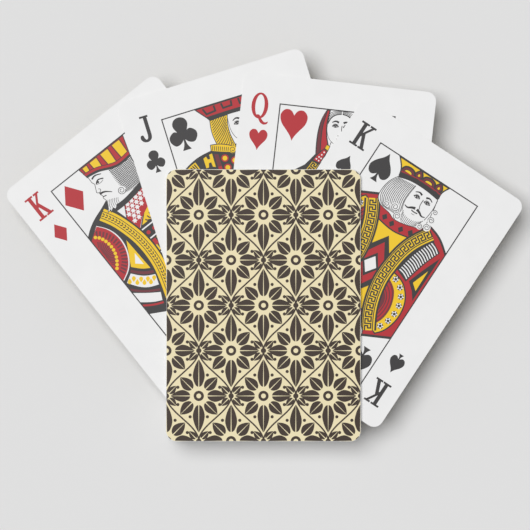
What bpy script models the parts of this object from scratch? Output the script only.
"""A pack of poker-size playing cards on a table, with four court cards fanned out of its middle.

Units are metres and degrees. +Z is up and +Y points to the cards' upper ends. The origin is the
centre of the lowest face. From the table up come the lower packet, face down and squared by hand,
then the four court cards, face up and fanned, and then the upper packet, face down on the fan.
Each card keeps to its own layer, so cards turn and slide over each other without meeting.
"""

import math

import bmesh
import bpy
from mathutils import Matrix, Vector

# One card, die cut from laminated stock, and the air that a loose pack keeps between two cards.
CARD_WIDTH = 0.0635
CARD_LENGTH = 0.0889
CARD_THICKNESS = 0.00026
CORNER_RADIUS = 0.0032
CORNER_STEPS = 6
AIR_GAP = 0.00004

# The point where a thumb pins the lower packet when it is fanned, from the pack's centre.
PACKET_PIVOT = Vector((0.0, -0.030))
# The most that a card of a hand-squared packet stands off square, in degrees.
SQUARING_ERROR = 0.25
# The turn between two cards of the error's run, in degrees: it never repeats, so no pattern shows.
SQUARING_RUN = 137.5

# The point where the four court cards are pinched together, from the pack's centre.
FAN_PIVOT = Vector((0.002, 0.006))
# The fanned cards from the lowest up: the centre's place from the pack's centre, and the turn.
FAN = {
    "king_of_diamonds": (Vector((-0.0329, 0.0217)), 38.6),
    "jack_of_clubs": (Vector((-0.0049, 0.0329)), 17.2),
    "queen_of_hearts": (Vector((0.0204, 0.0290)), -6.4),
    "king_of_spades": (Vector((0.0350, 0.0135)), -33.3),
}
UPPER_PACKET_COUNT = 5

SUITS = ("spades", "diamonds", "clubs", "hearts")
RANKS = (
    "ace", "two", "three", "four", "five", "six", "seven",
    "eight", "nine", "ten", "jack", "queen", "king",
)
JOKERS = ("red_joker", "black_joker")

STOCK_WHITE = (0.82, 0.82, 0.82, 1.0)
BACK_CREAM = (0.86, 0.75, 0.46, 1.0)
COATED_ROUGHNESS = 0.45


def clear_scene():
    for obj in list(bpy.data.objects):
        bpy.data.objects.remove(obj, do_unlink=True)


def coated_paper(name, colour):
    """A matt-coated printed surface."""
    material = bpy.data.materials.new(name)
    material.use_nodes = True
    shader = material.node_tree.nodes["Principled BSDF"]
    shader.inputs["Base Color"].default_value = colour
    shader.inputs["Roughness"].default_value = COATED_ROUGHNESS
    shader.inputs["Metallic"].default_value = 0.0
    material.diffuse_color = colour
    return material


def card_mesh(name, pivot, face_up):
    """One card with its lower face at z = 0. The pivot, in the card's own axes, is the mesh's origin."""
    bm = bmesh.new()
    bmesh.ops.create_grid(bm, x_segments=1, y_segments=1, size=0.5)
    bmesh.ops.scale(bm, verts=bm.verts, vec=(CARD_WIDTH, CARD_LENGTH, 1.0))
    bmesh.ops.bevel(
        bm,
        geom=list(bm.verts),
        affect="VERTICES",
        offset_type="OFFSET",
        offset=CORNER_RADIUS,
        segments=CORNER_STEPS,
        profile=0.5,
    )
    grown = bmesh.ops.extrude_face_region(bm, geom=list(bm.faces))["geom"]
    upper = [item for item in grown if isinstance(item, bmesh.types.BMVert)]
    bmesh.ops.translate(bm, verts=upper, vec=(0.0, 0.0, CARD_THICKNESS))
    bmesh.ops.translate(bm, verts=bm.verts, vec=(-pivot.x, -pivot.y, 0.0))
    bmesh.ops.recalc_face_normals(bm, faces=bm.faces)
    back_side = -1.0 if face_up else 1.0
    for face in bm.faces:
        face.material_index = int(face.normal.z * back_side > 0.5)
    mesh = bpy.data.meshes.new(name)
    bm.to_mesh(mesh)
    bm.free()
    return mesh


def add_card(name, mesh, layer, place, turn, materials):
    """Lays a card in its layer with its pivot at the place, turned about the pivot."""
    card = bpy.data.objects.new(name, mesh)
    card.location = (place.x, place.y, layer * (CARD_THICKNESS + AIR_GAP))
    card.rotation_euler.z = math.radians(turn)
    if not mesh.materials:
        for material in materials:
            mesh.materials.append(material)
    bpy.context.scene.collection.objects.link(card)
    return card


def off_square(count):
    """The small turn of a hand-squared card, counted from the one that lies square."""
    return SQUARING_ERROR * math.sin(math.radians(count * SQUARING_RUN))


def main():
    clear_scene()
    materials = (
        coated_paper("white_card_stock", STOCK_WHITE),
        coated_paper("printed_back", BACK_CREAM),
    )
    pack = [f"{rank}_of_{suit}" for suit in SUITS for rank in RANKS]
    pack = [name for name in pack if name not in FAN] + list(JOKERS)
    lower_packet = pack[:-UPPER_PACKET_COUNT]
    upper_packet = pack[-UPPER_PACKET_COUNT:]

    lower_mesh = card_mesh("lower_packet_card", PACKET_PIVOT, face_up=False)
    for layer, name in enumerate(lower_packet):
        add_card(name, lower_mesh, layer, PACKET_PIVOT, off_square(layer), materials)

    for order, (name, (centre, turn)) in enumerate(FAN.items()):
        pivot_in_card = Matrix.Rotation(math.radians(-turn), 2) @ (FAN_PIVOT - centre)
        mesh = card_mesh(name, pivot_in_card, face_up=True)
        add_card(name, mesh, len(lower_packet) + order, FAN_PIVOT, turn, materials)

    upper_mesh = card_mesh("upper_packet_card", Vector((0.0, 0.0)), face_up=False)
    first_upper = len(lower_packet) + len(FAN)
    for order, name in enumerate(upper_packet):
        from_top = len(upper_packet) - 1 - order
        centre = Vector((0.0, 0.0))
        add_card(name, upper_mesh, first_upper + order, centre, off_square(from_top), materials)


main()
